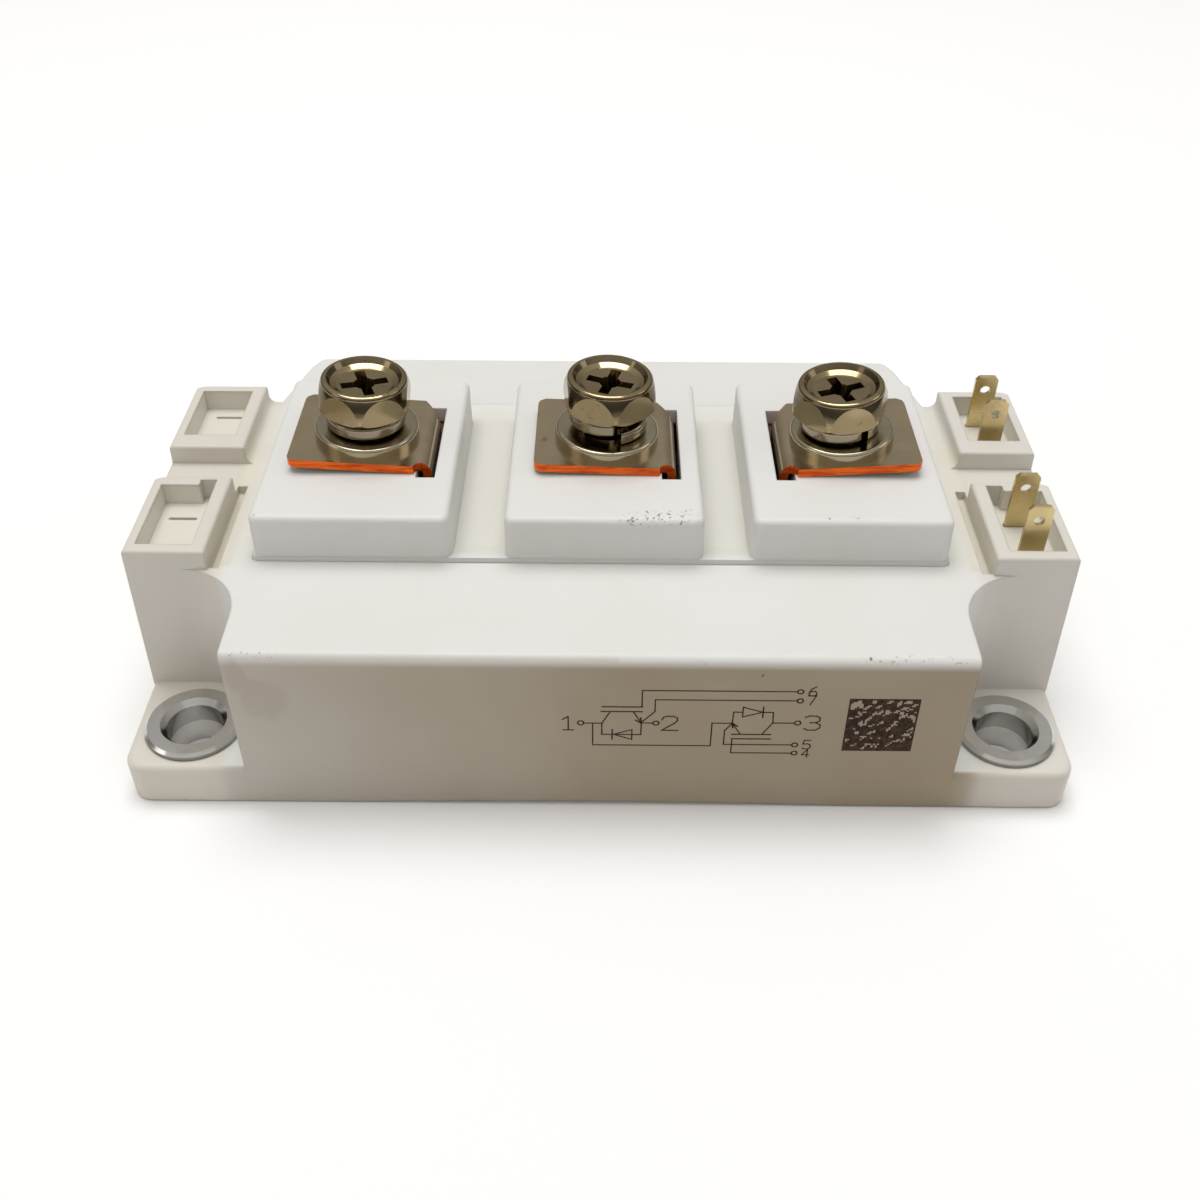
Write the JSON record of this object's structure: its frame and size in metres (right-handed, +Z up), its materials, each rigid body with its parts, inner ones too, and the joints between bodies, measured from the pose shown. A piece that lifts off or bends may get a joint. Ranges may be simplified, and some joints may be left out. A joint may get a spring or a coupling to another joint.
{
  "type": "igbt power module",
  "caption": "Half-bridge power module: a metal baseplate, a moulded white housing with corner bushings, raised terminal blocks with screws, and side sockets with control blades.",
  "frame": {"origin": "middle of the baseplate underside, which is the surface the module is screwed down on", "axes": "+Z up from the baseplate, +X along the long side towards the sockets that hold the control blades, +Y from the printed long side to the other long side"},
  "size_m": [0.1064, 0.0614, 0.0379],
  "materials": {
    "housing_plastic": "satin, finely textured moulding",
    "cover_plastic": "satin, finely textured moulding",
    "baseplate": "nickel-plated copper, bare copper at the edge",
    "bushing": "satin nickel plating, turned",
    "terminal": "nickel-plated copper sheet, satin",
    "washer": "nickel plating, satin",
    "spring_washer": "nickel plating, satin",
    "screw": "dark warm nickel plating",
    "nut": "nickel plating",
    "control_tab": "thinly nickel-plated brass",
    "solder": "dull solder",
    "copper": "bare bonded copper",
    "ceramic": "matt alumina",
    "chip": "metallised silicon",
    "wire": "bright bond wire"
  },
  "bodies": {
    "root": {"baseplate": "baseplate", "housing_frame": "housing_plastic", "top_cover": "cover_plastic", "bushing_front_left": "bushing", "bushing_front_right": "bushing", "bushing_rear_left": "bushing", "bushing_rear_right": "bushing", "power_terminal_1": "terminal", "captive_nut_1": "nut", "flat_washer_1": "washer", "spring_washer_1": "spring_washer", "terminal_screw_1": "screw", "power_terminal_2": "terminal", "captive_nut_2": "nut", "flat_washer_2": "washer", "spring_washer_2": "spring_washer", "terminal_screw_2": "screw", "power_terminal_3": "terminal", "captive_nut_3": "nut", "flat_washer_3": "washer", "spring_washer_3": "spring_washer", "terminal_screw_3": "screw", "control_tab_4": "control_tab", "control_tab_5": "control_tab", "control_tab_7": "control_tab", "control_tab_6": "control_tab", "solder_left": "solder", "back_copper_left": "copper", "ceramic_left": "ceramic", "circuit_copper_left": "copper", "igbt_chips_left": "chip", "diode_chips_left": "chip", "bond_wires_left": "wire", "solder_right": "solder", "back_copper_right": "copper", "ceramic_right": "ceramic", "circuit_copper_right": "copper", "igbt_chips_right": "chip", "diode_chips_right": "chip", "bond_wires_right": "wire"}
  },
  "joints": []
}
